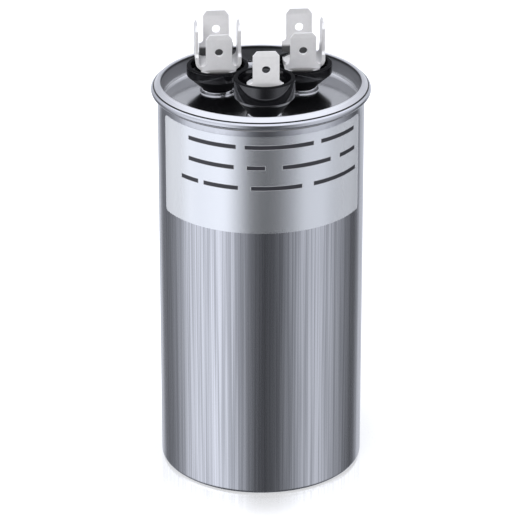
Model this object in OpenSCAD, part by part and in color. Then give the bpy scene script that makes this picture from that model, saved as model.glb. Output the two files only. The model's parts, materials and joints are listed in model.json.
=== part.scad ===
// Dual motor run capacitor: oil-filled round aluminium can, crimped lid,
// and three quick-connect terminals in insulating cups.
// Frame: millimetres, +Z up, origin under the middle of the foot. The fan
// terminal points to -Y, herm is 120 degrees on from it and common 240.

/* [Can] */
// Outer diameter of the can body
can_d = 50; // [44:0.5:64]
// Height of the crimped seam's top above the foot
can_h = 99.7; // [80:0.1:150]
// Thickness of the can's side wall
can_wall = 0.5; // [0.35:0.05:0.8]
// Thickness of the can's bottom
base_t = 0.9; // [0.5:0.1:2]
// Rounding between the foot and the side wall
foot_r = 1.2; // [0.9:0.1:2.5]
// Height by which the middle of the bottom stands clear of the table
foot_recess = 0.5; // [0.2:0.1:1.5]
// Width of the flat ring that the can stands on
foot_ring = 3.2; // [2:0.1:8]

/* [Seam] */
// How far the lid's rolled edge stands out past the can body
seam_out = 1.575; // [1.3:0.025:2.2]
// Height of the lid's rolled edge, seen from outside
lid_curl_h = 0.95; // [0.9:0.05:1.4]
// Height of the can's rolled bead below it
bead_h = 1.8; // [1.6:0.1:2.6]
// Free space inside the fold, which the sealing compound fills
fold_gap = 0.05; // [0.02:0.01:0.1]

/* [Lid] */
// Thickness of the lid's sheet
lid_t = 0.5; // [0.35:0.05:0.6]
// Depth of the lid's well below the seam's top
well_depth = 4.55; // [3:0.05:8]
// Space between the well's wall and the can's wall
well_gap = 0.3; // [0.15:0.05:0.6]
// Bend between the well's floor and wall
well_r = 0.7; // [0.6:0.1:1.6]
// Radius of the raised boss under each terminal, at its foot
boss_r = 4.3; // [4:0.1:5]
// Height of the boss
boss_h = 1; // [0.6:0.1:1.5]
// Radius of the circle that the terminals stand on
terminal_pitch_r = 11.7; // [11.2:0.1:13]

/* [Insulating cups] */
// Mouth diameter of the fan terminal's cup
fan_cup_d = 14.75; // [14.4:0.05:16]
// Mouth diameter of the herm and common cups
rear_cup_d = 15.1; // [14.8:0.1:16]
// Height of the fan cup above its boss
fan_cup_h = 8.7; // [8:0.1:10]
// Height of the herm and common cups above their bosses
rear_cup_h = 5.65; // [5.4:0.05:8]
// Height of the fan cup's straight collar
fan_collar_h = 4.6; // [3:0.1:5.5]
// Height of the straight collar of the herm and common cups
rear_collar_h = 2.4; // [1.6:0.1:3]
// Wall of a cup
cup_wall = 1; // [0.7:0.05:1.3]
// Radius of a cup's foot on its boss
cup_foot_r = 4.1; // [3.8:0.05:4.3]
// Radius of the neck that goes through the lid
neck_r = 2.9; // [2.6:0.1:3.2]
// How far the neck reaches below the lid
neck_reach = 1.6; // [1.2:0.1:2.5]
// Space between the neck and the edge of its hole in the lid
neck_gap = 0.1; // [0.05:0.05:0.3]

/* [Terminal studs] */
// Radius of a stud's shank in the neck
shank_r = 1.6; // [1.3:0.1:1.9]
// Space between the shank and the neck's bore
shank_gap = 0.1; // [0.05:0.05:0.2]
// Radius of the pillar that carries the tabs
pillar_r = 2.4; // [2.2:0.1:2.8]
// Radius of the tenon through the tabs
tenon_r = 1.25; // [1:0.05:1.6]
// Radius of the riveted heads
rivet_r = 2.3; // [2:0.1:2.8]
// Height of the riveted heads
rivet_h = 0.55; // [0.4:0.05:0.9]

/* [Quick-connect tabs] */
// Width of a blade
blade_w = 6.3; // [4.8:0.1:6.6]
// Thickness of the tab's sheet
blade_t = 0.8; // [0.5:0.05:1]
// Width of the strap that carries a blade
strap_w = 8.4; // [7.2:0.1:8.6]
// Diameter of a tab's eye round the stud
eye_d = 8.6; // [8.5:0.05:8.7]
// Length of a lower tab's blade above its shoulders
blade_len = 8.1; // [7.4:0.1:8.8]
// Length of an upper tab's blade above its shoulders
upper_blade_len = 7.4; // [6.4:0.1:8]
// Diameter of the hole in a blade
blade_hole_d = 2; // [1.4:0.1:2.5]
// Distance from the hole's middle to the blade's tip
hole_from_tip = 4.6; // [3.5:0.1:5.4]
// Width of the corner cut at a blade's tip
tip_cut_w = 0.95; // [0.5:0.05:1.4]
// Height of the corner cut and of the coined bevel behind it
tip_cut_h = 1.2; // [0.6:0.1:1.8]
// Thickness left at the coined tip
tip_t = 0.4; // [0.25:0.05:0.45]
// Radius of the curve from a shoulder into the blade
shoulder_r = 1; // [0.6:0.05:1.05]
// Middle radius of a tab's bend
tab_bend_r = 1.8; // [1.5:0.05:1.9]
// Distance from the stud to a lower tab's blade
lower_reach = 5.8; // [5.5:0.05:5.9]
// Distance from the stud to an upper tab's blade
upper_reach = 5.15; // [4.9:0.05:5.4]
// Distance from the stud to the fan tab's blade
fan_reach = 5.4; // [5.1:0.05:5.5]
// Outward lean of the lower tabs' blades, in degrees
lower_lean = 5; // [0:0.5:7]
// Outward lean of the fan tab's blade, in degrees
fan_lean = 1; // [0:0.5:5]
// Half of the step between a lower tab's outer and inner blade
blade_step = 0.75; // [0:0.05:1]
// Height of the herm and common blades' tips above the lid
rear_tip_h = 17.35; // [17:0.05:19]
// Height of the fan blade's tip above the lid
fan_tip_h = 18.25; // [17.5:0.05:20]
// Height of the herm and common tabs' seat above their boss
rear_seat_h = 4.75; // [4.4:0.05:5]
// Height of the fan tab's seat above its boss
fan_seat_h = 6.3; // [6:0.05:7]

/* [Label] */
// Thickness of the label film
label_t = 0.05; // [0.05:0.05:0.2]
// Height of the label
label_h = 24.7; // [15:0.1:60]
// Distance from the label's top to the seam's top
label_drop = 4.9; // [4:0.1:20]
// Angle that the label wraps round the can
label_angle = 134.6; // [60:1:170]
// Angle by which the label's middle is turned from the fan terminal's side
label_turn = -2.7; // [-10:0.1:10]
// Radius of the label's corners
label_corner_r = 1; // [0.5:0.1:3]

/* [Capacitor element] */
// Oil space between the can and the pad's rim round the element
oil_gap = 0.4; // [0.3:0.05:3]
// Diameter of the inner section, which serves the fan
fan_section_d = 19.6; // [16:0.1:26]
// Diameter of the winding core
core_d = 10; // [8:0.5:12]
// Wall of the winding core
core_wall = 1.2; // [0.8:0.1:2]
// Thickness of the sprayed zinc on each end
spray_t = 0.5; // [0.3:0.1:1]
// Thickness of the barrier between the two sections
barrier_t = 0.6; // [0.4:0.1:1]
// Thickness of the insulating wrap round the element
wrap_t = 0.5; // [0.3:0.05:0.6]
// Thickness of the pad under the element
pad_t = 2; // [1:0.1:4]
// Wall of the pad's rim
pad_rim_t = 0.5; // [0.3:0.05:0.6]

/* [Pressure interrupter] */
// Thickness of the interrupter's deck
deck_t = 1.6; // [1.2:0.1:2.5]
// Height of the skirt that holds the element down
deck_skirt_h = 8; // [6:0.5:10]
// Wall of the skirt
deck_skirt_t = 1.5; // [1:0.1:2]
// Height of a solder lug between its eye under the lid and its foot on the deck
lug_h = 7.2; // [5:0.1:12]
// Thickness of a solder lug
lug_t = 0.6; // [0.4:0.05:0.8]
// Width of a solder lug
lug_w = 4; // [3.6:0.1:4.6]
// Diameter of a lead wire
lead_d = 1.2; // [0.8:0.1:1.6]

/* [Hidden] */

$fn = 64;
arc_steps = 8;                  // straight edges in each rounded corner of a profile
cut = 0.5;                      // how far a cutting tool runs past what it cuts
air = 0.05;                     // clearance between pieces that are pressed together

metal = "silver";
tin = "gainsboro";
black_plastic = [0.08, 0.08, 0.09];

// the terminals: angle on the lid
fan_at = -90;
herm_at = 30;
common_at = 150;

// the can
can_r = can_d / 2;
can_bore_r = can_r - can_wall;
inner_floor_z = foot_recess + base_t;

// the lid, down from the seam's top
lid_z = can_h - well_depth;             // upper face of the well's floor
lid_under_z = lid_z - lid_t;
boss_z = lid_z + boss_h;                // upper face of each boss
boss_under_z = boss_z - lid_t;
seam_r = can_r + seam_out;
well_wall_r = can_bore_r - well_gap - lid_t / 2;        // middle of the well wall's sheet
curl_r = seam_r - lid_t / 2;                            // middle of the curl's sheet
curl_edge_z = can_h - lid_curl_h;
crown_in_r = 0.7;                                       // roll from the well's wall to the crown
crown_out_r = 0.55;                                     // roll from the crown to the curl
boss_taper = 0.2;                                       // a boss narrows by this much
boss_top_r = boss_r - boss_taper;
lid_hole_r = neck_r + neck_gap;

// a tab's strap inside its cup
strap_gap = 0.25;                       // space between the strap's corners and the cup
strap_flare = 4;                        // how far the strap may spread above the cup's lip
strap_flare_h = 1.3;                    // height over which it spreads

// the can's bead: its mouth rolled out and pressed flat, under the lid's curl
bead_top_z = can_h - lid_t - fold_gap;
bead_bottom_z = curl_edge_z - bead_h;
bead_inset = 0.125;                                     // the bead's face lies inside the curl's
bead_r = seam_r - bead_inset;
bead_roll_r = 0.8;                                      // roll over the top of the bead
bead_tuck_r = 0.75;                                     // rounding round the bead's lower edge
bead_roll_z = bead_top_z - bead_roll_r;

// below the lid
neck_sunk = 0.4;                        // length of a neck inside its lower insulator
gasket_gap = 0.1;                       // space between a gasket and the boss round it
gasket_h = neck_reach - neck_sunk;
gasket_r = boss_top_r - lid_t - gasket_gap;
insulator_z = boss_under_z - gasket_h;  // upper face of the lower insulator
insulator_h = 1.2;
insulator_r = 4.6;
neck_end_z = boss_under_z - neck_reach;

// a lug: round eye on the stud, strip towards the middle, leg down, foot on the deck
lug_z = insulator_z - insulator_h;      // upper face of the eye
lug_eye_d = 6;
lug_leg_x = 5.2;                        // from the stud to the leg
lug_foot_len = 3;

// the interrupter's deck, down from the lugs
deck_top_z = lug_z - lug_h;
deck_z = deck_top_z - deck_t;                           // underside of the deck
deck_gap = 0.3;                                         // space between the deck and the can
deck_r = can_bore_r - deck_gap;
vent_r = 2;                                             // holes that let oil through the deck
vent_at_r = 0.75 * deck_r;

// the element fills the height between its pad and the deck's skirt
pad_z = inner_floor_z + air;
element_z = pad_z + pad_t;                              // bottom of the lower end spray
winding_z = element_z + spray_t;
spray_top_z = deck_z - deck_skirt_h;
winding_top_z = spray_top_z - spray_t;
winding_h = winding_top_z - winding_z;
pad_r = can_bore_r - oil_gap;                           // outside of the pad's rim
pad_rim_r = pad_r - pad_rim_t;                          // inside of the pad's rim
wrap_r = pad_rim_r - air;                               // outside of the wrap
winding_r = wrap_r - wrap_t - air;
fan_section_r = fan_section_d / 2;
core_r = core_d / 2;
pad_rim_h = 6;                                          // height of the pad's rim round the wrap

// the leads
lead_hole_r = lead_d / 2 + 0.5;                         // clearance holes in the deck
lead_hole_at_r = terminal_pitch_r - lug_leg_x - lug_foot_len / 2;
lead_rise = 2.8;                                        // from a lead's end to its first bend
lead_bend_r = 1.4;                                      // middle radius of a lead's bends
wire_sides = 10;

// points of an arc, from angle a0 to a1
function arc(c, r, a0, a1, n = arc_steps) =
    [for (i = [0:n]) let (a = a0 + (a1 - a0) * i / n) [c[0] + r * cos(a), c[1] + r * sin(a)]];

function unit(v) = v / norm(v);

// outward direction at point i of an open line, mitred at corners
function mitre(p, i) =
    let (before = unit(p[i] - p[max(i - 1, 0)] + (i == 0 ? p[1] - p[0] : [0, 0])),
         after = i == len(p) - 1 ? before : unit(p[i + 1] - p[i]),
         mid = unit(before + after))
    [mid[1], -mid[0]] / max(mid * after, 0.5);

// outline of a sheet of thickness t that follows the middle line p
function sheet(p, t) = concat(
    [for (i = [0:len(p) - 1]) p[i] + mitre(p, i) * t / 2],
    [for (i = [len(p) - 1:-1:0]) p[i] - mitre(p, i) * t / 2]);

// moves its children to the terminal at an angle on the lid, +X pointing outwards
module at_terminal(angle) {
    rotate([0, 0, angle]) translate([terminal_pitch_r, 0, 0]) children();
}

module tube(r, bore_r, z, h) {
    translate([0, 0, z]) difference() {
        cylinder(r = r, h = h);
        translate([0, 0, -cut]) cylinder(r = bore_r, h = h + 2 * cut);
    }
}

// ---- can, lid and seam -------------------------------------------------

// one drawn shell: dished bottom, straight wall, and the mouth rolled into a bead
module can() {
    ring_in_r = can_r - foot_r - foot_ring;
    foot_in_r = max(foot_r - can_wall, 0.3);
    color(metal) rotate_extrude() polygon(concat(
        [[0, foot_recess], [ring_in_r - 2 * foot_recess, foot_recess], [ring_in_r, 0]],
        arc([can_r - foot_r, foot_r], foot_r, -90, 0),
        [[can_r, bead_bottom_z]],
        arc([bead_r - bead_tuck_r, bead_bottom_z + bead_tuck_r], bead_tuck_r, -90, 0),
        arc([can_bore_r + bead_roll_r, bead_roll_z], bead_roll_r, 0, 180),
        arc([can_bore_r - foot_in_r, inner_floor_z + foot_in_r], foot_in_r, 0, -90),
        [[0, inner_floor_z]]));
}

// pressed pan: floor, well wall, crown, and the curl over the can's bead
module lid() {
    crown_z = can_h - lid_t / 2;
    pan = concat(
        [[0, lid_z - lid_t / 2]],
        arc([well_wall_r - well_r, lid_z - lid_t / 2 + well_r], well_r, -90, 0),
        arc([well_wall_r + crown_in_r, crown_z - crown_in_r], crown_in_r, 180, 90),
        arc([curl_r - crown_out_r, crown_z - crown_out_r], crown_out_r, 90, 0),
        [[curl_r, curl_edge_z]]);
    color(metal) difference() {
        union() {
            rotate_extrude() polygon(sheet(pan, lid_t));
            for (a = [fan_at, herm_at, common_at]) at_terminal(a)
                translate([0, 0, lid_under_z]) {
                    cylinder(r = boss_r, h = lid_t);
                    translate([0, 0, lid_t]) cylinder(r1 = boss_r, r2 = boss_top_r, h = boss_h);
                }
        }
        for (a = [fan_at, herm_at, common_at]) at_terminal(a) {
            translate([0, 0, lid_under_z - cut]) cylinder(r = boss_r - lid_t, h = cut);
            translate([0, 0, lid_under_z])
                cylinder(r1 = boss_r - lid_t, r2 = boss_top_r - lid_t, h = boss_h);
            translate([0, 0, lid_under_z]) cylinder(r = lid_hole_r, h = boss_h + lid_t + cut);
        }
    }
}

// ring of sealing compound in the fold between the lid's wall and the can's wall
module seam_compound() {
    bottom_z = lid_z + well_r;
    color("dimgray") tube(can_bore_r - air, well_wall_r + lid_t / 2 + air,
        bottom_z, bead_roll_z - bottom_z);
}

// film wrapped round the can on the fan terminal's side: a flat outline with rounded
// corners, bent round the can and seen from the front, cuts it out of a thin tube
module label() {
    r = can_r + air / 2;
    half_w = r * label_angle / 2 * PI / 180;
    top_z = can_h - label_drop;
    low_z = top_z - label_h;
    corner = label_corner_r;
    right = concat(arc([half_w - corner, low_z + corner], corner, -90, 0),
        arc([half_w - corner, top_z - corner], corner, 0, 90));
    flat = concat(right, [for (i = [len(right) - 1:-1:0]) [-right[i][0], right[i][1]]]);
    bent = [for (p = flat) [r * sin(p[0] / r * 180 / PI), p[1]]];
    color("gainsboro") rotate([0, 0, label_turn]) intersection() {
        tube(r + label_t, r, low_z - cut, label_h + 2 * cut);
        rotate([90, 0, 0]) linear_extrude(2 * can_r) polygon(bent);
    }
}

// ---- terminals ----------------------------------------------------------

// flared cup with a rolled lip, and the neck that insulates the stud in the lid
module cup(mouth_d, height, collar_h) {
    r = mouth_d / 2;
    lip_r = cup_wall / 2;
    base_z = boss_z + air;
    lip_z = boss_z + height;
    cone_z = lip_z - collar_h;
    floor_z = base_z + cup_wall;
    color(black_plastic) rotate_extrude() polygon(concat(
        [[shank_r + shank_gap, neck_end_z], [neck_r, neck_end_z], [neck_r, base_z],
         [cup_foot_r, base_z], [r, cone_z]],
        arc([r - lip_r, lip_z - lip_r], lip_r, 0, 180),
        [[r - cup_wall, cone_z + cup_wall / 3], [cup_foot_r - cup_wall / 2, floor_z],
         [shank_r + shank_gap, floor_z]]));
}

module cup_fan() { at_terminal(fan_at) cup(fan_cup_d, fan_cup_h, fan_collar_h); }
module cup_herm() { at_terminal(herm_at) cup(rear_cup_d, rear_cup_h, rear_collar_h); }
module cup_common() { at_terminal(common_at) cup(rear_cup_d, rear_cup_h, rear_collar_h); }

// rubber ring squeezed against the underside of a boss
module gasket(angle) {
    color("black") at_terminal(angle)
        tube(gasket_r, neck_r + air, insulator_z + air, gasket_h - 2 * air);
}

// turned stud: head under the lug, shank, pillar, tenon and head over the tabs
module stud(angle, seat_h, tabs) {
    foot_z = lug_z - lug_t - air - rivet_h;
    floor_z = boss_z + air + cup_wall + air;
    seat_z = boss_z + seat_h - air;
    head_z = boss_z + seat_h + tabs * (blade_t + air);
    color(tin) at_terminal(angle) rotate_extrude() polygon([
        [0, foot_z], [rivet_r - rivet_h / 2, foot_z], [rivet_r, foot_z + rivet_h / 2],
        [rivet_r, foot_z + rivet_h], [shank_r, foot_z + rivet_h], [shank_r, floor_z],
        [pillar_r, floor_z], [pillar_r, seat_z], [tenon_r, seat_z], [tenon_r, head_z],
        each [for (a = [0:15:90]) [rivet_r * cos(a), head_z + rivet_h * sin(a)]]]);
}

// side outline of one bent arm of a tab: strap, bend and coined blade
function arm_side(reach, lean, tip_z) =
    let (half_t = blade_t / 2,
         bend_x = reach - tab_bend_r * cos(lean),
         bend_z = half_t + tab_bend_r,
         up = [sin(lean), cos(lean)],
         out = [cos(lean), -sin(lean)],
         from = [bend_x, bend_z] + out * tab_bend_r,
         tip_len = (tip_z - from[1]) / cos(lean) - tip_cut_h,
         coin = from + up * tip_len,
         tip = coin + up * tip_cut_h)
    concat([[0, 0]],
        arc([bend_x, bend_z], tab_bend_r + half_t, -90, -lean),
        [coin + out * half_t, tip + out * tip_t / 2, tip - out * tip_t / 2, coin - out * half_t],
        arc([bend_x, bend_z], tab_bend_r - half_t, -lean, -90),
        [[0, blade_t]]);

// front outline of one arm: strap with rounded shoulders, blade with cut corners
function arm_front(tip_z, len) =
    let (half = blade_w / 2, shoulder_z = tip_z - len, strap = strap_w / 2,
         r = min(shoulder_r, strap - half),
         right = concat([[strap, -cut], [strap, shoulder_z]],
             arc([half + r, shoulder_z + r], r, 270, 180),
             [[half, tip_z - tip_cut_h], [half - tip_cut_w, tip_z]]))
    concat(right, [for (i = [len(right) - 1:-1:0]) [-right[i][0], right[i][1]]]);

// one arm of a tab on its seat, bending up towards +X
module arm(reach, lean, tip_z, len) {
    hole_z = tip_z - hole_from_tip;
    hole_x = reach + (hole_z - tab_bend_r) * tan(lean);
    difference() {
        intersection() {
            translate([0, strap_w / 2 + cut, 0]) rotate([90, 0, 0])
                linear_extrude(strap_w + 2 * cut) polygon(arm_side(reach, lean, tip_z));
            rotate([90, 0, 90]) linear_extrude(reach + tip_z) polygon(arm_front(tip_z, len));
        }
        translate([hole_x, 0, hole_z]) rotate([0, 90 + lean, 0])
            cylinder(d = blade_hole_d, h = 4 * blade_t, center = true);
    }
}

// keeps a tab's strap clear of the cup: round below the lip, spreading above it
module cup_clearance(mouth_d, cup_h, seat_h) {
    r = mouth_d / 2 - cup_wall - strap_gap;
    lip_z = cup_h - seat_h;
    translate([0, 0, -cut]) cylinder(r = r, h = lip_z + cut);
    translate([0, 0, lip_z]) cylinder(r1 = r, r2 = r + strap_flare, h = strap_flare_h);
    translate([0, 0, lip_z + strap_flare_h]) cylinder(r = r + strap_flare, h = 2 * rear_tip_h);
}

// places a tab on a terminal; level 0 lies on the pillar and level 1 on another tab
module seated(angle, seat_h, level) {
    at_terminal(angle) translate([0, 0, boss_z + seat_h + level * (blade_t + air)])
        children();
}

// a tab of one or two arms; the arms' directions are measured from outwards
module tab(angle, seat_h, level, turns, reach, lean, tip_h, step, cup_d, cup_h) {
    tip_z = tip_h - boss_h - seat_h - level * (blade_t + air);
    len = level == 0 ? blade_len : upper_blade_len;
    color(tin) seated(angle, seat_h, level) difference() {
        intersection() {
            union() {
                for (i = [0:len(turns) - 1]) rotate([0, 0, turns[i]])
                    arm(reach, lean, tip_z + step * (i == 0 ? -1 : 1), len);
                cylinder(d = eye_d, h = blade_t);
            }
            cup_clearance(cup_d, cup_h, seat_h + level * (blade_t + air));
        }
        translate([0, 0, -cut]) cylinder(r = tenon_r + air, h = blade_t + 2 * cut);
    }
}

module tab_fan() {
    tab(fan_at, fan_seat_h, 0, [0], fan_reach, fan_lean, fan_tip_h, 0, fan_cup_d, fan_cup_h);
}
// the blades of the herm and common tabs stand square to the object's own axes
module tab_herm_lower() {
    tab(herm_at, rear_seat_h, 0, [-90 - herm_at, 90 - herm_at], lower_reach, lower_lean,
        rear_tip_h, blade_step, rear_cup_d, rear_cup_h);
}
module tab_herm_upper() {
    tab(herm_at, rear_seat_h, 1, [-herm_at], upper_reach, 0, rear_tip_h, 0,
        rear_cup_d, rear_cup_h);
}
module tab_common_lower() {
    tab(common_at, rear_seat_h, 0, [-90 - common_at, 90 - common_at], lower_reach, lower_lean,
        rear_tip_h, blade_step, rear_cup_d, rear_cup_h);
}
module tab_common_upper() {
    tab(common_at, rear_seat_h, 1, [-common_at, 180 - common_at], upper_reach, 0, rear_tip_h, 0,
        rear_cup_d, rear_cup_h);
}

// moulded washer between a gasket and its lug, with a rim round the neck's end
module lower_insulator(angle) {
    color("ivory") at_terminal(angle)
        tube(insulator_r, neck_r + air, lug_z + air, insulator_h - air);
}

// strip from the stud's foot down to the interrupter's deck
module lug(angle) {
    foot_z = lug_z - lug_h + air;
    color(tin) at_terminal(angle) difference() {
        union() {
            translate([0, 0, lug_z - lug_t]) cylinder(d = lug_eye_d, h = lug_t);
            translate([-lug_leg_x, -lug_w / 2, lug_z - lug_t]) cube([lug_leg_x, lug_w, lug_t]);
            translate([-lug_leg_x, -lug_w / 2, foot_z]) cube([lug_t, lug_w, lug_z - foot_z]);
            translate([-lug_leg_x - lug_foot_len, -lug_w / 2, foot_z])
                cube([lug_foot_len + lug_t, lug_w, lug_t]);
        }
        translate([0, 0, lug_z - lug_t - cut]) cylinder(r = shank_r + air, h = lug_t + 2 * cut);
    }
}

// ---- inside the can ------------------------------------------------------

// moulded deck with a skirt: the lugs break from it when pressure lifts the lid
module interrupter_deck() {
    color("burlywood") difference() {
        union() {
            translate([0, 0, deck_z]) cylinder(r = deck_r, h = deck_t);
            tube(deck_r, deck_r - deck_skirt_t, spray_top_z + air, deck_skirt_h);
        }
        for (a = [fan_at, herm_at, common_at]) {
            rotate([0, 0, a]) translate([lead_hole_at_r, 0, deck_z - cut])
                cylinder(r = lead_hole_r, h = deck_t + 2 * cut);
            rotate([0, 0, a + 60]) translate([vent_at_r, 0, deck_z - cut])
                cylinder(r = vent_r, h = deck_t + 2 * cut);
        }
    }
}

// direction of the straight stretch after point i of a wire's route
function heading(p, i) = let (v = p[i + 1] - p[i]) atan2(v[1], v[0]);

// points round the bend at point i of a route
function bend(p, i) =
    let (a = heading(p, i - 1), turn = heading(p, i) - a, side = sign(turn),
         start = p[i] - lead_bend_r * tan(abs(turn) / 2) * [cos(a), sin(a)],
         centre = start + side * lead_bend_r * [-sin(a), cos(a)])
    arc(centre, lead_bend_r, a - side * 90, a - side * 90 + turn, 5);

// round wire that follows a route in the XZ plane
module wire(p) {
    line = concat([p[0]], [for (i = [1:len(p) - 2]) each bend(p, i)], [p[len(p) - 1]]);
    last = len(line) - 1;
    rings = [for (i = [0:last], k = [0:wire_sides - 1])
        let (v = unit(line[min(i + 1, last)] - line[max(i - 1, 0)]),
             a = 360 * k / wire_sides, out = lead_d / 2 * cos(a))
        [line[i][0] - v[1] * out, lead_d / 2 * sin(a), line[i][1] + v[0] * out]];
    polyhedron(rings, concat(
        [[for (k = [0:wire_sides - 1]) k], [for (k = [wire_sides - 1:-1:0]) last * wire_sides + k]],
        [for (i = [0:last - 1], k = [0:wire_sides - 1])
            let (from = i * wire_sides, next = (k + 1) % wire_sides)
            [from + k, from + wire_sides + k, from + wire_sides + next, from + next]]));
}

// lead from the element up through the deck to the foot of one lug
module lead(angle, from_r, from_z) {
    color(tin) rotate([0, 0, angle]) wire([
        [from_r, from_z], [from_r, spray_top_z + lead_rise],
        [lead_hole_at_r, deck_z - lead_rise / 2], [lead_hole_at_r, deck_top_z]]);
}

// two film rolls, one inside the other, on one core
module winding_herm() {
    color("lightgray") tube(winding_r, fan_section_r + barrier_t, winding_z, winding_h);
}
module winding_fan() {
    color("lightgray") tube(fan_section_r, core_r, winding_z, winding_h);
}
module section_barrier() {
    color("khaki") tube(fan_section_r + barrier_t, fan_section_r, winding_z, winding_h + 2 * spray_t);
}
module winding_core() {
    color("white") tube(core_r, core_r - core_wall, winding_z, winding_h + spray_t);
}

// zinc sprayed on the ends of the rolls: two rings above, one disc below
module end_spray_herm() {
    color("gray") tube(winding_r, fan_section_r + barrier_t, winding_top_z, spray_t);
}
module end_spray_fan() {
    color("gray") tube(fan_section_r, core_r, winding_top_z, spray_t);
}
module end_spray_common() {
    color("gray") translate([0, 0, element_z]) cylinder(r = winding_r, h = spray_t);
}

// insulating wrap round the element, and the pad with a rim that it stands in
module element_wrap() {
    color("tan") tube(wrap_r, wrap_r - wrap_t, element_z, spray_top_z - element_z);
}
module base_pad() {
    color("ivory") rotate_extrude() polygon([
        [0, pad_z], [pad_r - pad_t / 2, pad_z], [pad_r, pad_z + pad_t / 2],
        [pad_r, element_z + pad_rim_h], [pad_rim_r, element_z + pad_rim_h],
        [pad_rim_r, element_z], [0, element_z]]);
}

can();
lid();
seam_compound();
label();
cup_fan();
cup_herm();
cup_common();
gasket(fan_at);  // gasket_fan
gasket(herm_at);  // gasket_herm
gasket(common_at);  // gasket_common
stud(fan_at, fan_seat_h, 1);  // stud_fan
stud(herm_at, rear_seat_h, 2);  // stud_herm
stud(common_at, rear_seat_h, 2);  // stud_common
tab_fan();
tab_herm_lower();
tab_herm_upper();
tab_common_lower();
tab_common_upper();
lower_insulator(fan_at);  // lower_insulator_fan
lower_insulator(herm_at);  // lower_insulator_herm
lower_insulator(common_at);  // lower_insulator_common
lug(fan_at);  // lug_fan
lug(herm_at);  // lug_herm
lug(common_at);  // lug_common
interrupter_deck();
lead(fan_at, (fan_section_r + core_r) / 2, spray_top_z);  // lead_fan
lead(herm_at, (winding_r + fan_section_r) / 2, spray_top_z);  // lead_herm
lead(common_at, 0, winding_z);  // lead_common
winding_herm();
winding_fan();
section_barrier();
winding_core();
end_spray_herm();
end_spray_fan();
end_spray_common();
element_wrap();
base_pad();
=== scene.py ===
# %% [markdown]
# # A motor run capacitor
# A round aluminium can with a crimped lid, a silver film label, and three terminals that stand in
# black moulded cups. The measured model comes first and stays as it is. Around it, this notebook
# turns, folds and wraps the pieces that show, with finer curves and softened edges, and gives
# every piece its finish.

# %% The frame
import json
import math

import bpy
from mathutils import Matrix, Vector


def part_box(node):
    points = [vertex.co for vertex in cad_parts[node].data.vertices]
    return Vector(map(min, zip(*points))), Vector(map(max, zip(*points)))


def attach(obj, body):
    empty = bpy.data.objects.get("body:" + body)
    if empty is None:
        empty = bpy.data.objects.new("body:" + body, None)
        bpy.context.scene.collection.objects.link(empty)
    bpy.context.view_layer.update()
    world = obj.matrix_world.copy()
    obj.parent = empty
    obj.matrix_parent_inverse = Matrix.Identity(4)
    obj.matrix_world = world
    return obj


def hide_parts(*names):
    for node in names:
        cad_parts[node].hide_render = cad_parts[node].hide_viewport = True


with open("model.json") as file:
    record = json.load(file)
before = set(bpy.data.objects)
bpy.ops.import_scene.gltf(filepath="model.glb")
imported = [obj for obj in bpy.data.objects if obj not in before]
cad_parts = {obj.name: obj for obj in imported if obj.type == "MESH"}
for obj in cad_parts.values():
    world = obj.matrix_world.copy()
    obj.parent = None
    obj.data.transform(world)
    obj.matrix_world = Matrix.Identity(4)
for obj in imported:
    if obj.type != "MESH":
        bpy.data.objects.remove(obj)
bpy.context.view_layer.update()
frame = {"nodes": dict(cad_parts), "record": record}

MM = 0.001

# %% [markdown]
# ## The camera
# The can is seen from a little above, 24 degrees down, from far away with a long lens, so its
# sides draw in only slightly. The camera stands 4 degrees to the left of the object's front.

# %% The camera
scene = bpy.context.scene
look_down, turn_left = 23.996, 4.0
camera_distance, camera_height = 743.4 * MM, 382.8 * MM
lens_mm, sensor_mm = 227.15, 36

bpy.ops.object.camera_add(
    location=(
        -camera_distance * math.sin(math.radians(turn_left)),
        -camera_distance * math.cos(math.radians(turn_left)),
        camera_height,
    ),
    rotation=(math.radians(90 - look_down), 0, math.radians(-turn_left)),
)
camera = bpy.context.active_object
camera.data.lens = lens_mm
camera.data.sensor_width = sensor_mm
scene.camera = camera
scene.view_settings.view_transform = "Standard"
print("the camera looks down", look_down, "degrees through a lens of", lens_mm, "mm")

# %% [markdown]
# ## Drawing a finish as sums
# A finish is a tree of shader nodes. `Wire` wraps the socket of a node, so that `a * 0.5 + b` adds
# the Math nodes that work it out, and `Tree.node` adds any other node from its settings and the
# values of its sockets. A `Finish` is the tree of one material. Its patterns are read from the
# place on the object, so they stay where they are from every side.

# %% Wires
class Wire:
    """The output socket of a node. Sums and products of wires add Math nodes."""

    def __init__(self, tree, socket):
        self.tree, self.socket = tree, socket

    def math(self, operation, *others):
        return self.tree.node("ShaderNodeMath", {"operation": operation}, [self, *others])

    def __add__(self, other):
        return self.math("ADD", other)

    def __mul__(self, other):
        return self.math("MULTIPLY", other)

    def __sub__(self, other):
        return self.math("SUBTRACT", other)

    def __truediv__(self, other):
        return self.math("DIVIDE", other)

    def __rsub__(self, other):
        return self.tree.node("ShaderNodeMath", {"operation": "SUBTRACT"}, [other, self])

    def step(self, low, high):
        """0 below low and 1 above high, with a smooth rise between them."""
        return self.tree.node(
            "ShaderNodeMapRange", {"interpolation_type": "SMOOTHSTEP"}, [self, low, high]
        )

    def near(self, middle, reach, blur):
        """1 within reach of the middle and 0 beyond it, with an edge blurred by blur."""
        return 1.0 - (self - middle).math("ABSOLUTE").step(reach - blur, reach + blur)

    __radd__ = __add__
    __rmul__ = __mul__


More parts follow.
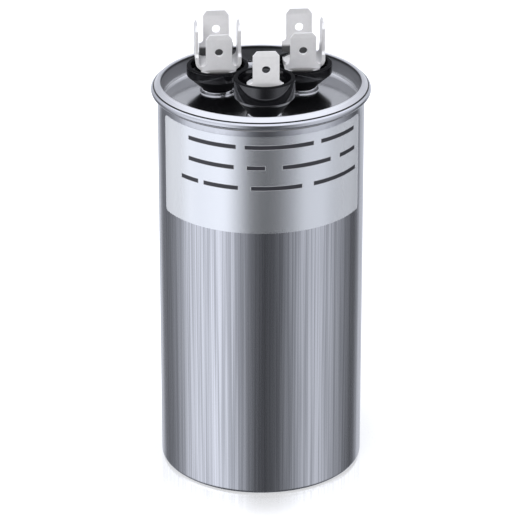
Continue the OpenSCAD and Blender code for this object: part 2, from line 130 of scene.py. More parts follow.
# %% Trees
class Tree:
    """The nodes of a material or of the world."""

    def __init__(self, owner):
        owner.use_nodes = True
        self.nodes, self.links = owner.node_tree.nodes, owner.node_tree.links

    def plug(self, socket, value):
        if isinstance(value, Wire):
            self.links.new(value.socket, socket)
        else:
            socket.default_value = value

    def node(self, kind, settings=None, sockets=None, output=0):
        made = self.nodes.new(kind)
        for name, value in (settings or {}).items():
            if name == "stops":
                ramp = made.color_ramp.elements
                while len(ramp) < len(value):
                    ramp.new(1)
                for stop, (place, colour) in zip(ramp, value):
                    stop.position, stop.color = place, (*colour, 1)
            else:
                setattr(made, name, value)
        pairs = sockets.items() if isinstance(sockets, dict) else enumerate(sockets or [])
        for key, value in pairs:
            self.plug(made.inputs[key], value)
        return Wire(self, made.outputs[output])

    def mixed(self, factor, colour_a, colour_b):
        """colour_a where the factor is 0, and colour_b where it is 1."""
        ends = [(*c, 1) if isinstance(c, tuple) else c for c in (colour_a, colour_b)]
        sockets = {0: factor, 6: ends[0], 7: ends[1]}
        return self.node("ShaderNodeMix", {"data_type": "RGBA"}, sockets, output=2)


# %% Finishes
class Finish(Tree):
    """A material: the sockets of its Principled shader are set by name."""

    def __init__(self, name, **sockets):
        self.material = bpy.data.materials.new(name)
        super().__init__(self.material)
        self.surface = self.nodes["Principled BSDF"]
        self.set(**sockets)

    def set(self, **sockets):
        for name, value in sockets.items():
            value = (*value, 1) if isinstance(value, tuple) else value
            self.plug(self.surface.inputs[name.replace("_", " ")], value)

    def place(self, scale=(1, 1, 1)):
        """The place on the object in metres, stretched by scale."""
        here = self.node("ShaderNodeTexCoord", output="Object")
        return self.node("ShaderNodeMapping", sockets={"Vector": here, "Scale": scale})

    def part(self, axis):
        """One coordinate of the place on the object, in metres."""
        apart = self.node("ShaderNodeSeparateXYZ", sockets=[self.place()])
        return Wire(self, apart.socket.node.outputs[axis.upper()])

    def noise(self, scale, detail=2.0):
        """Soft noise from 0 to 1, with a number of cells in a metre for each axis."""
        sockets = {"Vector": self.place(scale), "Scale": 1.0, "Detail": detail}
        return self.node("ShaderNodeTexNoise", sockets=sockets)


# %% [markdown]
# ## Aluminium
# The can is drawn from sheet, and the drawing leaves fine straight lines along it. Noise that is
# fine round the can and very long up it gives such lines, and because it is read from the place
# on the object and not from an angle, it has no seam. The lines change the brightness and
# the roughness, and they fade out below the bead, where the sheet is smooth. A dark band is
# painted under the bead, painted shade in the crease there. Inside the lid's hem the can's mouth
# is painted
# black: painted shade for the gap between the hem and the bead, and also the sealing compound that
# the seam holds. The lid's sheet is rolled and almost a mirror, so it shows the cups upside down.
# The wall of its well is painted a dark grey, painted shade that is darkest near the top, and the
# crown is painted brighter than the rest of the pan, a painted highlight.

# %% Drawn aluminium
crease_z, bead_z, hem_z = 96.2, 96.95, 98.51
lines_end_z, smooth_z = bead_z - 4, bead_z - 1
crisp = 0.05
# the black of the painted shade under the bead and in the hem's gap, where the seam's compound
# also sits
painted_shade_black = (0.02, 0.02, 0.02)


def drawn_aluminium():
    finish = Finish("drawn_aluminium")
    fine = finish.noise((3000, 3000, 14))
    broad = finish.noise((1100, 1100, 6))
    smooth = finish.part("z").step(lines_end_z * MM, smooth_z * MM)
    lines = (fine * 0.6 + broad * 0.4).step(0.38, 0.6) * (1.0 - smooth) + smooth * 0.9
    metal = finish.mixed(lines, (0.54, 0.55, 0.58), (0.84, 0.85, 0.89))
    z = finish.part("z") * (1 / MM)
    # painted shade: the crease under the bead is painted dark, and the mouth inside the hem is
    # painted black, which is shade in the gap and the seam's sealing compound too
    crease_shade = z.step(crease_z - crisp, crease_z) * (1.0 - z.step(bead_z, bead_z + crisp))
    shade_and_compound = crease_shade * 0.8 + z.step(hem_z - 0.01, hem_z)
    finish.set(
        Base_Color=finish.mixed(shade_and_compound, metal, painted_shade_black),
        Metallic=1.0 - shade_and_compound,
        Roughness=0.28 - lines * 0.06,
    )
    return finish.material


# %% Rolled aluminium
corner_z, corner_top_z = 99.35, 99.45
wall_from_r, wall_to_r, crown_r = 23.72, 23.78, 24.4
# the well's wall is painted dark grey, painted shade, darkest near the top under the crown
shade_low_z, shade_high_z = corner_z - 0.9, corner_z - 0.2
wall_shade_grey, wall_shade_darkest = (0.42, 0.42, 0.43), (0.1, 0.1, 0.1)


def rolled_aluminium():
    finish = Finish("rolled_aluminium", Metallic=1.0)
    haze = finish.noise((90, 260, 90), 3.0)
    x, y, z = (finish.part(axis) * (1 / MM) for axis in "xyz")
    r = (x * x + y * y).math("SQRT")
    inside = 1.0 - r.step(crown_r - crisp, crown_r + crisp)
    crown = 1.0 - (1.0 - z.step(corner_z - crisp, corner_top_z)) * inside
    wall = r.step(wall_from_r, wall_to_r) * (1.0 - crown)
    sheet = finish.mixed(haze, (0.74, 0.74, 0.75), (0.84, 0.84, 0.85))
    # painted shade on the well's wall, darker towards the top
    shade = finish.mixed(z.step(shade_low_z, shade_high_z), wall_shade_grey, wall_shade_darkest)
    pan = finish.mixed(wall, sheet, shade)
    # the crown is painted brighter than the rest of the pan, a painted highlight
    finish.set(
        Base_Color=finish.mixed(crown, pan, (0.93, 0.93, 0.95)),
        Roughness=haze * 0.1 + 0.1 + wall * 0.15 + crown * 0.15,
    )
    return finish.material


# %% [markdown]
# ## The label's film and its print
# The film is silver and brighter than the can. Towards its two ends it is made less metallic, a
# painted sheen that makes them lighter. Its print is three lines of plain dark bars, the field of
# ink that small type leaves from a step away. A bar is where two distances are small at once: the
# height above a line's middle, and the way round the can from the bar's own middle.

# %% Film and print
label_turn = math.radians(-2.7)
film_r = 25.0
# the film is made less metallic towards its ends, a painted sheen that lightens them
sheen_from, sheen_all = 0.6, 1.1  # radians from the label's middle
bar_h, bar_blur, bar_end_blur = 1.1, 0.1, 0.15
# for each line's height, the start and the length of its bars on the way round the can
print_lines = {
    92.1: [(-19.5, 13), (-4.5, 17), (14.5, 12)],
    86.9: [(-19.5, 12.5), (-4, 4.5), (4.5, 13), (20.5, 6.5)],
    81.7: [(-22, 5.5), (-15, 9), (-3, 12.5), (12.5, 15)],
}


def label_film():
    finish = Finish("label_film")
    cloud = finish.noise((60, 60, 25))
    film = finish.mixed(cloud, (0.90, 0.92, 0.96), (0.96, 0.98, 1.0))
    turn = finish.part("x").math("ARCTAN2", finish.part("y") * -1.0) - label_turn
    way, height = turn * film_r, finish.part("z") * (1 / MM)
    # painted sheen: 0 in the film's middle and 1 at its ends
    side_sheen = turn.math("ABSOLUTE").step(sheen_from, sheen_all)
    ink = 0.0
    for line_z, bars in print_lines.items():
        line = height.near(line_z, bar_h / 2, bar_blur)
        for start, length in bars:
            ink = ink + line * way.near(start + length / 2, length / 2, bar_end_blur)
    finish.set(
        Base_Color=finish.mixed(ink, film, (0.02, 0.02, 0.025)),
        Metallic=(0.94 - side_sheen * 0.36) * (1.0 - ink),
        Roughness=cloud * 0.04 + 0.2 + ink * 0.2,
    )
    return finish.material


# %% [markdown]
# ## Plastics, tin and what is inside
# The cups are a black moulding plastic. Their collars are moulded to a gloss, which a clear coat
# gives, and their lips and cones are duller. The tabs are brass under dull tin, which is pale
# from every side because its soft skin scatters light like paint. The two straps at the back are
# painted dark low down on the side that faces their stud, painted shade where the blades in front
# shade them, and this darkens the holes of those blades. Inside the can, out of sight, the wound
# film, the sprayed zinc, the rubber and the mouldings have simple finishes.

# %% Cup plastic
gloss_from_z, gloss_full_z = 99.35, 99.55
rear_lip_z, fan_lip_z = 101.8, 104.85
fan_cup_y, rear_cups_y = -4, -2  # where the fan cup ends and the other two begin
lip_fade = (-0.3, -0.15)  # from the lip's top, where the gloss ends


def cup_plastic():
    finish = Finish("cup_plastic", Specular_IOR_Level=0.05, Coat_IOR=1.85, Coat_Roughness=0.06)
    flow = finish.noise((220, 220, 500), 3.0)
    y, z = (finish.part(axis) * (1 / MM) for axis in "yz")
    lip = fan_lip_z - y.step(fan_cup_y, rear_cups_y) * (fan_lip_z - rear_lip_z)
    collar = z.step(gloss_from_z, gloss_full_z) * (1.0 - (z - lip).step(*lip_fade))
    finish.set(
        Base_Color=finish.mixed(flow, (0.003, 0.003, 0.004), (0.007, 0.007, 0.008)),
        Roughness=flow * 0.1 + 0.45 - collar * 0.2,
        Coat_Weight=collar,
    )
    return finish.material


# %% Tin
# where the painted shade starts, is full, begins to end and has ended, from the stud's back
strap_shade_ys = [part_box("stud_herm")[1].y / MM + way for way in (1.5, 2.0, 3.45, 3.55)]
strap_shade_low_z, strap_shade_high_z = 103.8, 104.6


def dull_tin():
    finish = Finish("dull_tin", Metallic=0.48)
    grain = finish.noise((900, 900, 900))
    tin = finish.mixed(grain, (0.79, 0.78, 0.775), (0.87, 0.86, 0.855))
    y, z = (finish.part(axis) * (1 / MM) for axis in "yz")
    inner = y.step(*strap_shade_ys[:2]) * (1.0 - y.step(*strap_shade_ys[2:]))
    # painted shade: below this height the straps' sides that face the stud are painted dark
    strap_shade = inner * (1.0 - z.step(strap_shade_low_z, strap_shade_high_z))
    finish.set(
        Base_Color=finish.mixed(strap_shade, tin, (0.07, 0.07, 0.07)),
        Roughness=grain * 0.08 + 0.26,
    )
    return finish.material


# %% The finish of every slot
even_cells, winding_cells = (500, 500, 500), (3000, 3000, 30)


def plain(name, dark, pale, cells, **sockets):
    """A finish for a piece inside the can: noise between two colours."""
    finish = Finish(name, **sockets)
    finish.set(Base_Color=finish.mixed(finish.noise(cells, 3.0), dark, pale))
    return finish.material


finishes = {
    "can_metal": drawn_aluminium(),
    "lid_metal": rolled_aluminium(),
    "label_film": label_film(),
    "cup_plastic": cup_plastic(),
    "tinned_metal": dull_tin(),
}
for slot, dark, pale, roughness, metallic in (
    ("seal_rubber", (0.015, 0.015, 0.015), (0.03, 0.03, 0.03), 0.8, 0.0),
    ("deck_plastic", (0.30, 0.18, 0.07), (0.40, 0.25, 0.11), 0.5, 0.0),
    ("barrier_film", (0.60, 0.52, 0.25), (0.70, 0.62, 0.32), 0.4, 0.0),
    ("core_plastic", (0.74, 0.74, 0.72), (0.80, 0.80, 0.78), 0.5, 0.0),
    ("wrap_film", (0.45, 0.30, 0.14), (0.55, 0.38, 0.19), 0.35, 0.0),
    ("insulator_plastic", (0.68, 0.64, 0.52), (0.76, 0.72, 0.60), 0.5, 0.0),
    ("metallised_film", (0.5, 0.5, 0.52), (0.75, 0.75, 0.78), 0.3, 0.9),
    ("zinc_spray", (0.2, 0.2, 0.21), (0.42, 0.42, 0.43), 0.7, 0.8),
    ("lead_wire", (0.75, 0.62, 0.48), (0.82, 0.72, 0.58), 0.3, 1.0),
):
    cells = winding_cells if slot == "metallised_film" else even_cells
    finishes[slot] = plain(slot, dark, pale, cells, Roughness=roughness, Metallic=metallic)
slot_of = {row["node"]: row["material_slot"] for row in frame["record"]["subparts"]}
for node, solid in frame["nodes"].items():
    solid.data.materials.clear()
    solid.data.materials.append(finishes[slot_of[node]])
print(len(finishes), "finishes on", len(frame["nodes"]), "nodes")


# %% [markdown]
# ## Turning
# The can, the lid, the cups and the studs are round. Each is drawn as an outline of (radius,
# height) points, as for a lathe. A circle is added at the first point, and then its edge is
# extruded and scaled from point to point. Corners are points on arcs, so that they catch light
# as a real edge does.

# %% Helpers for all pieces
weld = 1e-7  # in metres: points that are closer than this become one


def deselect():
    if bpy.context.mode != "OBJECT":
        bpy.ops.object.mode_set(mode="OBJECT")
    bpy.ops.object.select_all(action="DESELECT")


def edit():
    bpy.ops.object.mode_set(mode="EDIT")
    bpy.ops.mesh.select_all(action="SELECT")


def keep(piece, name, *nodes, smooth=30):
    """Names a finished piece, gives it the finish of its nodes, and puts it in their place."""
    bpy.context.view_layer.objects.active = piece
    bpy.ops.object.transform_apply(location=True, rotation=True, scale=True)
    bpy.ops.object.shade_smooth_by_angle(angle=math.radians(smooth))
    piece.name = piece.data.name = name
    piece.data.materials.clear()
    piece.data.materials.append(finishes[slot_of[nodes[0]]])
    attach(piece, "root")
    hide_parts(*nodes)
    print(name, "has", len(piece.data.polygons), "faces")


# %% Outlines and the lathe
def arc(middle, radius, start, end, steps=6):
    """Points of an arc in an outline, from one angle to another. A pair of radii, across and
    up, makes it oval."""
    across, up = radius if isinstance(radius, tuple) else (radius, radius)
    angles = [math.radians(start + (end - start) * i / steps) for i in range(steps + 1)]
    return [(middle[0] + across * math.cos(a), middle[1] + up * math.sin(a)) for a in angles]


def turned(outline, sides, at=(0, 0, 0)):
    """Turns an outline in millimetres round the z axis. Its two ends are closed by flat discs,
    or joined where they are one point."""
    deselect()
    ring = outline[0] == outline[-1]
    radius, height = outline[0]
    bpy.ops.mesh.primitive_circle_add(
        vertices=sides, radius=radius * MM, location=(0, 0, 0),
        fill_type="NOTHING" if ring else "NGON",
    )
    piece = bpy.context.active_object
    edit()
    bpy.ops.transform.translate(value=(0, 0, height * MM))
    for (r1, z1), (r2, z2) in zip(outline, outline[1:]):
        bpy.ops.mesh.extrude_region_move(TRANSFORM_OT_translate={"value": (0, 0, (z2 - z1) * MM)})
        bpy.ops.transform.resize(value=(r2 / r1, r2 / r1, 1), center_override=(0, 0, z2 * MM))
    if not ring:
        bpy.ops.mesh.edge_face_add()
    bpy.ops.mesh.select_all(action="SELECT")
    bpy.ops.mesh.remove_doubles(threshold=weld)
    bpy.ops.mesh.normals_make_consistent(inside=False)
    bpy.ops.object.mode_set(mode="OBJECT")
    piece.location = [c * MM for c in at]
    return piece


# %% [markdown]
# ## The can
# One drawn shell with a dished bottom, so that it stands on a ring. Its mouth is rolled out into
# a round bead and then up into the lid's hem. Its radius comes from the mount that says what
# strap fits it, and its heights from the measured model.

# %% The can
can_r = next(m for m in frame["record"]["mounts"] if m["name"] == "can_band")["dims"]["r_mm"]
can_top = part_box("can")[1] / MM
lid_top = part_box("lid")[1] / MM
seam_z, seam_r = lid_top.z, lid_top.x
bead_top_z = can_top.z
can_wall = 0.5
can_bore_r = can_r - can_wall
foot_r, foot_in_r, foot_ring, foot_recess, base_t = 1.2, 0.7, 3.2, 0.5, 0.9
bead_bottom_z, bead_mid_z = seam_z - 2.8, seam_z - 1.87
bead_tuck_r, bead_up_h, neck_w, neck_h = 0.75, 0.72, 0.45, 0.5
dish_slope, dish_steps = 1.5, 6
round_sides = 192

ring_in_r = can_r - foot_r - foot_ring
dish = [
    (ring_in_r - dish_slope * (1 - way), foot_recess * (1 + math.cos(math.pi * way)) / 2)
    for way in (i / dish_steps for i in range(dish_steps + 1))
]
floor_z = foot_recess + base_t
can = turned(
    dish
    + arc((can_r - foot_r, foot_r), foot_r, -90, 0, 10)
    + [(can_r, bead_bottom_z)]
    + arc((seam_r - bead_tuck_r, bead_bottom_z + bead_tuck_r), bead_tuck_r, -90, 0, 10)
    + arc((seam_r - bead_tuck_r, bead_mid_z), (bead_tuck_r, bead_up_h), 0, 90, 10)
    + arc((can_bore_r + neck_w, bead_top_z - neck_h), (neck_w, neck_h), 0, 180, 12)
    + arc((can_bore_r - foot_in_r, floor_z + foot_in_r), foot_in_r, 0, -90),
    round_sides,
)
keep(can, "can_body", "can")

# %% [markdown]
# ## The lid
# A pressed pan whose rim turns over the can's mouth in a narrow crown, with a hem that stops just
# above the bead. The dark line between them is a real gap, made darker by the black painted on the
# can's mouth inside the hem. The three bosses under the terminals are turned by themselves and
# then united with the pan, so that the sheet stays one closed skin.

# %% The lid's pan
lid_t = 0.5
lid_z = seam_z - 4.55
well_in_r, well_fillet = 23.7, 0.45
crown_in_r, crown_out_r, crown_roll, crown_slope = 24.28, 25.8, 0.72, 41
corner_r, crown_flat = 0.22, 0.1
hem_edge_z, hem_edge_r, hem_t, hem_fold_h = seam_z - 0.98, 0.05, 0.3, 0.2
crown_x = crown_in_r + corner_r
floor_c = (well_in_r - well_fillet, lid_z + well_fillet)

upper_side = (
    arc(floor_c, well_fillet, -90, 0)
    + arc((crown_x, seam_z - corner_r), corner_r, 180, 90)
    + arc((crown_x + crown_flat, seam_z - crown_roll), crown_roll, 90, crown_slope, 8)
    + arc((crown_out_r - hem_edge_r, hem_edge_z + hem_edge_r), hem_edge_r, 0, -90, 4)
)
lower_side = (
    [(crown_out_r - hem_t, hem_edge_z)]
    + arc(
        (crown_x, seam_z - lid_t - hem_fold_h),
        (crown_out_r - hem_t - crown_x, hem_fold_h), 0, 90,
    )
    + [(well_in_r + lid_t, seam_z - 2 * lid_t)]
    + arc(floor_c, well_fillet + lid_t, 0, -90)
)
lid = turned(upper_side + lower_side, round_sides)
print("the lid's pan has", len(lid.data.polygons), "faces")

# %% The lid's bosses
boss_r, boss_foot_r, boss_h, boss_round = 4.3, 4.4, 1.0, 0.7
boss_z = lid_z + boss_h
boss_sides = 96


def middle_of(node):
    """The middle of a node, seen from above, in millimetres."""
    low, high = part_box(node)
    return (low.x + high.x) / 2 / MM, (low.y + high.y) / 2 / MM


def combine(piece, tool, operation):
    """Unites a piece with a tool, or cuts it with one, and deletes the tool."""
    deselect()
    bpy.context.view_layer.objects.active = piece
    cut = piece.modifiers.new("combine", "BOOLEAN")
    cut.operation, cut.object, cut.solver = operation, tool, "EXACT"
    bpy.ops.object.modifier_apply(modifier=cut.name)
    bpy.data.objects.remove(tool)


terminals = {name: middle_of("stud_" + name) for name in ("fan", "herm", "common")}
for place in terminals.values():
    boss = turned(
        [(boss_foot_r, lid_z - lid_t / 2)]
        + arc((boss_r - boss_round, boss_z - boss_round), boss_round, 0, 90, 8),
        boss_sides, at=(*place, 0),
    )
    combine(lid, boss, "UNION")
keep(lid, "pressed_lid", "lid")

# %% [markdown]
# ## The insulating cups
# Each cup is a closed turned shape: a neck through the lid, a cone, and a straight collar whose
# lip is flat between two softened edges. The fan's cup is the tall one.

# %% The cups
cup_wall, cup_foot_r, cup_bore_r, neck_r = 1.0, 4.1, 1.7, 2.9
neck_below = 1.6
neck_end_z = boss_z - lid_t - neck_below
air = 0.05
lip_out_r, lip_in_r, foot_edge_r, cone_edge_r = 0.3, 0.15, 0.1, 0.2
collar_heights = {"fan": 4.6, "herm": 2.4, "common": 2.4}
cup_sides = 128


def cup(name, collar_h):
    low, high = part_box("cup_" + name)
    r, lip_z = (high.x - low.x) / 2 / MM, high.z / MM
    cone_z, base_z = lip_z - collar_h, boss_z + air
    outside = [(cup_bore_r, neck_end_z), (neck_r, neck_end_z), (neck_r, base_z)]
    outside += arc((cup_foot_r - foot_edge_r, base_z + foot_edge_r), foot_edge_r, -90, -20, 3)
    outside += arc((r - cone_edge_r, cone_z + cone_edge_r / 2), cone_edge_r, -40, 0, 3)
    lip = arc((r - lip_out_r, lip_z - lip_out_r), lip_out_r, 0, 90)
    lip += arc((r - cup_wall + lip_in_r, lip_z - lip_in_r), lip_in_r, 90, 180, 4)
    inside = [
        (r - cup_wall, cone_z + cup_wall / 3),
        (cup_foot_r - cup_wall / 2, base_z + cup_wall),
        (cup_bore_r, base_z + cup_wall),
        (cup_bore_r, neck_end_z),
    ]
    piece = turned(outside + lip + inside, cup_sides, at=(*terminals[name], 0))
    keep(piece, "insulating_" + name, "cup_" + name)


for name, collar_h in collar_heights.items():
    cup(name, collar_h)

# %% [markdown]
# ## The studs
# Turned brass with a shank through the neck, a pillar that the tabs sit on, and a head that is
# spun over them, which leaves a dimple in its middle.

# %% The studs
tab_t = 0.8
shank_r, pillar_r, tenon_r, rivet_r, rivet_h = 1.6, 2.4, 1.25, 2.3, 0.55
foot_cut = 0.3
dimple_r, dimple_in_r, dimple_rim_h, dimple_h = 0.8, 0.6, 0.03, 0.18
stud_sides = 64


def stud(name, tabs):
    low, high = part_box("stud_" + name)
    foot_z, head_z = low.z / MM, high.z / MM - rivet_h
    floor_z, seat_z = boss_z + cup_wall + 2 * air, head_z - tabs * (tab_t + air) - air
    dome = [
        (rivet_r * math.cos(a), head_z + rivet_h * math.sin(a))
        for a in (math.radians(10 * i) for i in range(7))
    ]
    outline = [(rivet_r - foot_cut, foot_z), (rivet_r, foot_z + foot_cut)]
    outline += [(rivet_r, foot_z + rivet_h)]
    outline += [(shank_r, foot_z + rivet_h), (shank_r, floor_z), (pillar_r, floor_z)]
    outline += [(pillar_r, seat_z), (tenon_r, seat_z), (tenon_r, head_z), *dome]
    outline += [(dimple_r, high.z / MM - dimple_rim_h), (dimple_in_r, high.z / MM - dimple_h)]
    piece = turned(outline, stud_sides, at=(*terminals[name], 0))
    keep(piece, "riveted_stud_" + name, "stud_" + name)
    return seat_z + air


seats = {"fan": stud("fan", 1), "herm": stud("herm", 2), "common": stud("common", 2)}

# %% [markdown]
# ## The quick-connect tabs
# A tab is stamped and folded from one strip. Its middle line is walked from end to end: at each
# station the strip has a place and a width, so one edge is extruded and scaled along it. The
# strip narrows in rounded shoulders, its corners are cut at the tip, and it stays clear of the
# cup round it. Then it gets its thickness, the tips are coined thinner, the holes are cut, and
# the edges are softened. Only its two ends differ from tab to tab, so one function folds all.

# %% Stations of one arm
blade_w, strap_w, eye_r = 6.3, 8.4, 4.3
bend_r, shoulder_r, shoulder_start = 1.8, 1.0, 262
tip_cut_w, tip_cut_h, tip_t = 0.95, 1.2, 0.4
hole_r, hole_from_tip, hole_sides = 1.0, 4.6, 64
strap_gap, flare, flare_h, least_half = 0.25, 4.0, 1.3, 0.5
eye_turns = (172, 160, 145, 130, 115, 103)
lead_in, shoulder_rise, least_rise = 1.0, 0.02, 0.05


def room(x, z, cup_r, lip_z):
    """Half of the width that a strap may have inside the cup, at a place on its arm."""
    r = cup_r - cup_wall - strap_gap + flare * min(max((z - lip_z) / flare_h, 0), 1)
    return math.sqrt(max(r * r - x * x, least_half * least_half))


def arm(reach, lean, tip_z, blade_len, cup_r, lip_z):
    """(x, z, half width) of the strip's middle line, from the bend to the tip. Heights are
    from the strip's underside."""
    tilt = math.radians(lean)
    bend_x, bend_z = reach - bend_r * math.cos(tilt), tab_t / 2 + bend_r
    stations = [(bend_x - lead_in, tab_t / 2, strap_w / 2)]
    for x, z in arc((bend_x, bend_z), bend_r, -90, -lean, 16):
        outside = x + (x - bend_x) / bend_r * tab_t / 2
        stations.append((x, z, min(strap_w / 2, room(outside, z - tab_t / 2, cup_r, lip_z))))
    foot_x, foot_z = stations[-1][:2]
    shoulder_z = tip_z - blade_len
    half = blade_w / 2
    shoulder = arc((shoulder_r, shoulder_z + shoulder_r), shoulder_r, shoulder_start, 180)
    widths = [(strap_w / 2, shoulder_z - shoulder_rise)]
    widths += [(half + r, z) for r, z in shoulder]
    widths += [(half, tip_z - tip_cut_h), (half - tip_cut_w, tip_z)]
    for width, z in widths:
        if z > foot_z + least_rise:
            x = foot_x + (z - foot_z) * math.tan(tilt)
            free = room(x + tab_t / 2, z, cup_r, lip_z)
            stations.append((x, z, min(width, free)))
    return stations


# %% A strip, its tips and its holes
tip_band, soft_edge, soft_angle = 0.3, 0.07, 40
flat_angle = 8


def holed(piece, x, z, r, turn):
    """Cuts a round hole through a strip."""
    bpy.ops.mesh.primitive_cylinder_add(
        vertices=hole_sides, radius=r * MM, depth=4 * tab_t * MM,
        location=(x * MM, 0, z * MM), rotation=(0, math.radians(turn), 0),
    )
    combine(piece, bpy.context.active_object, "DIFFERENCE")


def strip_along(stations):
    """A strip with a thickness, extruded from station to station."""
    deselect()
    x, z, half = stations[0]
    bpy.ops.mesh.primitive_plane_add(size=2 * MM)
    piece = bpy.context.active_object
    edit()
    bpy.ops.transform.resize(value=(0, half, 1))
    bpy.ops.mesh.remove_doubles(threshold=weld)
    bpy.ops.mesh.select_all(action="SELECT")
    bpy.ops.transform.translate(value=(x * MM, 0, z * MM))
    for (x1, z1, half1), (x2, z2, half2) in zip(stations, stations[1:]):
        step = ((x2 - x1) * MM, 0, (z2 - z1) * MM)
        bpy.ops.mesh.extrude_region_move(TRANSFORM_OT_translate={"value": step})
        bpy.ops.transform.resize(
            value=(1, half2 / half1, 1), center_override=(x2 * MM, 0, z2 * MM)
        )
    bpy.ops.object.mode_set(mode="OBJECT")
    sheet = piece.modifiers.new("sheet", "SOLIDIFY")
    sheet.thickness, sheet.offset, sheet.use_even_offset = tab_t * MM, 0, True
    bpy.ops.object.modifier_apply(modifier=sheet.name)
    return piece


def coin_tip(piece, x, z):
    """Presses the tip of an arm thinner."""
    edit()
    bpy.ops.mesh.select_all(action="DESELECT")
    bpy.ops.object.mode_set(mode="OBJECT")
    for vertex in piece.data.vertices:
        vertex.select = vertex.co.z > (z - tip_band) * MM and (vertex.co.x > 0) == (x > 0)
    bpy.ops.object.mode_set(mode="EDIT")
    bpy.ops.transform.resize(value=(tip_t / tab_t, 1, 1), center_override=(x * MM, 0, z * MM))
    bpy.ops.object.mode_set(mode="OBJECT")


def soften(piece):
    """Rounds every sharp edge of a strip."""
    soft = piece.modifiers.new("soft edges", "BEVEL")
    soft.width, soft.segments, soft.limit_method = soft_edge * MM, 2, "ANGLE"
    soft.angle_limit = math.radians(soft_angle)
    deselect()
    bpy.context.view_layer.objects.active = piece
    bpy.ops.object.modifier_apply(modifier=soft.name)


# %% One folded tab
def folded_tab(name, node, terminal, heading, level, reach, lean, blade_len, steps):
    """A tab with one arm, or with two that point opposite ways, and a step in height for each."""
    cup_low, cup_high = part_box("cup_" + terminal)
    cup_r = (cup_high.x - cup_low.x) / 2 / MM
    seat_z = seats[terminal] + level * (tab_t + air)
    lip_z = cup_high.z / MM - seat_z
    tip_z = tip_of[node] - seat_z
    arms = [arm(reach, lean, tip_z + step, blade_len, cup_r, lip_z) for step in steps]
    if len(arms) == 2:
        start = [(-x, z, half) for x, z, half in reversed(arms[1])]
    else:
        turns = [math.radians(turn) for turn in eye_turns]
        start = [(eye_r * math.cos(a), tab_t / 2, eye_r * math.sin(a)) for a in turns]
    stations = start + arms[0]

    piece = strip_along(stations)
    ends = [stations[-1][:2]] + ([stations[0][:2]] if len(arms) == 2 else [])
    for x, z in ends:
        coin_tip(piece, x, z)
    for (x, z), side in zip(ends, (1, -1)):
        drop = hole_from_tip * math.tan(math.radians(lean))
        holed(piece, x - side * drop, z - hole_from_tip, hole_r, 90 + side * lean)
    holed(piece, 0, tab_t / 2, tenon_r + air, 0)
    soften(piece)

    piece.rotation_euler = (0, 0, math.radians(heading))
    piece.location = (*[c * MM for c in terminals[terminal]], seat_z * MM)
    piece.select_set(True)
    keep(piece, name, node, smooth=flat_angle)


# %% The five tabs
tip_of = {node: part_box(node)[1].z / MM for node in frame["nodes"] if node.startswith("tab_")}
lower = {"heading": -90, "level": 0, "reach": 5.8, "lean": 5, "blade_len": 8.1}
upper = {"heading": 0, "level": 1, "reach": 5.15, "lean": 0, "blade_len": 7.4}
single = {"heading": -90, "level": 0, "reach": 5.4, "lean": 1, "blade_len": 8.1}
lower_step = 0.75
for terminal in ("herm", "common"):
    node = f"tab_{terminal}_lower"
    tip_of[node] -= lower_step
    blades = f"front_and_back_blades_{terminal}"
    folded_tab(blades, node, terminal, steps=(-lower_step, lower_step), **lower)
folded_tab("side_blade_herm", "tab_herm_upper", "herm", steps=(0,), **upper)
folded_tab("side_blades_common", "tab_common_upper", "common", steps=(0, 0), **upper)
folded_tab("front_blade_fan", "tab_fan", "fan", steps=(0,), **single)

# %% [markdown]
# ## The label
# A label is made flat and then wrapped. A thin slab gets its four corners rounded, is cut into
# narrow strips so that it can bend, and each point is then moved from the flat to the can.

# %% The label
label_low, label_high = (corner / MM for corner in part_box("label"))
label_h = label_high.z - label_low.z
label_mid_z = (label_high.z + label_low.z) / 2
label_angle = math.radians(134.6)
label_in_r, label_t = can_r + 0.025, 0.05
label_corner, corner_steps = 1.0, 8
label_w = label_in_r * label_angle
label_strips = 120
same = 1e-9  # in metres: an edge whose ends differ less than this stands square to the slab

deselect()
bpy.ops.mesh.primitive_cube_add(size=1)
label = bpy.context.active_object
label.scale = (label_w * MM, label_t * MM, label_h * MM)
bpy.ops.object.transform_apply(scale=True)
bpy.ops.object.mode_set(mode="EDIT")
bpy.ops.mesh.select_mode(type="EDGE")
bpy.ops.mesh.select_all(action="DESELECT")
bpy.ops.object.mode_set(mode="OBJECT")
for edge in label.data.edges:
    a, b = (label.data.vertices[i].co for i in edge.vertices)
    edge.select = abs(a.x - b.x) < same and abs(a.z - b.z) < same
bpy.ops.object.mode_set(mode="EDIT")
bpy.ops.mesh.bevel(offset=label_corner * MM, segments=corner_steps, affect="EDGES")
for i in range(1, label_strips):
    bpy.ops.mesh.select_all(action="SELECT")
    cut_x = (i / label_strips - 0.5) * label_w * MM
    bpy.ops.mesh.bisect(plane_co=(cut_x, 0, 0), plane_no=(1, 0, 0))
bpy.ops.mesh.select_mode(type="VERT")
bpy.ops.object.mode_set(mode="OBJECT")
for vertex in label.data.vertices:
    angle = label_turn + vertex.co.x / (label_in_r * MM)
    r = (label_in_r + label_t / 2) * MM - vertex.co.y
    vertex.co = (r * math.sin(angle), -r * math.cos(angle), vertex.co.z + label_mid_z * MM)
label.select_set(True)
keep(label, "wrapped_label", "label")

# %% [markdown]
# ## The studio
# Metal shows what stands round it, so the studio is made for the can. The world is white to the
# camera. The camera looks down, so the can's wall reflects what lies below the horizon. There
# stands a ring of pale panels with dark gaps between them: one broad gap in front gives the can
# its dark middle, and pale panels to the left and right give its bright bands. Above the horizon
# the ring goes on only straight ahead. Elsewhere the walls are an even grey, a little darker
# behind. Overhead is a wide soft panel, and straight below it is dark.

# %% The world
world = bpy.data.worlds.new("studio")
scene.world = world
studio = Tree(world)


def grey(level):
    """A slightly cool grey."""
    return (level * 0.97, level, level * 1.09)


straight = (0.6, 0.85)  # how squarely a direction points ahead or behind
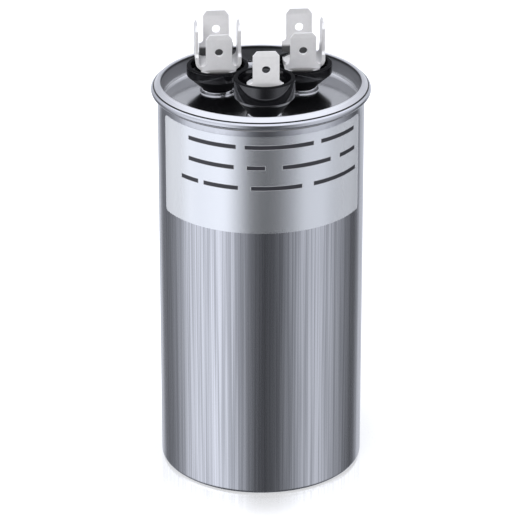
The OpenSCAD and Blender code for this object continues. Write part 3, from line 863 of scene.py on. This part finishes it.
# the ring's stops: degrees to the right of the side where the camera stands, and brightness
panels = [
    (-180, 0.9), (-158, 0.75), (-146, 0.14), (-122, 0.2), (-102, 0.4), (-88, 0.8), (-40, 0.92),
    (-25, 0.5), (-11, 0.12), (5, 0.05), (20, 0.12), (36, 0.32), (50, 0.58), (74, 0.62),
    (92, 0.4), (112, 0.22), (130, 0.06), (137, 0.1), (148, 0.6), (180, 0.9),
]
axis = studio.node("ShaderNodeSeparateXYZ", sockets=[studio.node("ShaderNodeTexCoord")])
east, north, up = (Wire(studio, axis.socket.node.outputs[i]) for i in range(3))
heading = east.math("ARCTAN2", north * -1.0) * (180 / math.pi) + turn_left
around = studio.node(
    "ShaderNodeValToRGB",
    {"stops": [((angle + 180) / 360, grey(level)) for angle, level in panels]},
    [heading / 360 + 0.5],
)
ahead = (north * -1.0).step(*straight)
with_sides = studio.mixed(up.step(-0.15, 0.1) * (1.0 - ahead), around, grey(0.65))
behind = north.step(*straight) * up.step(0.0, 0.25)
with_back = studio.mixed(behind, with_sides, grey(0.5))
with_top = studio.mixed(up.step(0.45, 0.7), with_back, grey(1.0))
with_floor = studio.mixed(up.step(-0.9, -0.65), grey(0.1), with_top)
seen = studio.node("ShaderNodeLightPath", output="Is Camera Ray")
white = (1.0, 1.0, 1.0)
studio.plug(studio.nodes["Background"].inputs["Color"], studio.mixed(seen, with_floor, white))
print("the ring of panels has", len(panels), "stops")

# %% [markdown]
# ## The lamp and the floor
# One large lamp lights what scatters light, such as the tin and the plastic, and it doesn't show
# in the metal. The floor is pale glossy paper. Close to the foot it mirrors the can, and further
# away it is plain. It doesn't show in the can either, which reflects the panels alone.

# %% The lamp
lamp_place, lamp_size, lamp_watts = (-0.30, -0.80, 0.62), 0.4, 7.5
lamp_tilt, lamp_turn = math.radians(60), math.radians(-20)
bpy.ops.object.light_add(type="AREA", location=lamp_place)
lamp = bpy.context.active_object
lamp.data.size, lamp.data.energy = lamp_size, lamp_watts
lamp.rotation_euler = (lamp_tilt, 0, lamp_turn)
lamp.visible_glossy = False
print("the lamp gives", lamp_watts, "watts")

# %% The floor
floor_size, mirror_reach = 4, 26
deselect()
bpy.ops.mesh.primitive_plane_add(size=floor_size)
floor = bpy.context.active_object
floor.name = "floor"
paper = Finish("floor_paper", Base_Color=(0.9, 0.9, 0.9), Roughness=0.05, Specular_IOR_Level=0.1)
x, y = (paper.part(axis) * (1 / MM) for axis in "xy")
near = 1.0 - (x * x + y * y).math("SQRT").step(can_r, can_r + mirror_reach)
paper.set(Metallic=near * 0.8, Emission_Color=white, Emission_Strength=0.47)
floor.data.materials.append(paper.material)
floor.visible_glossy = False
print("the floor mirrors the can up to", mirror_reach, "mm from its foot")
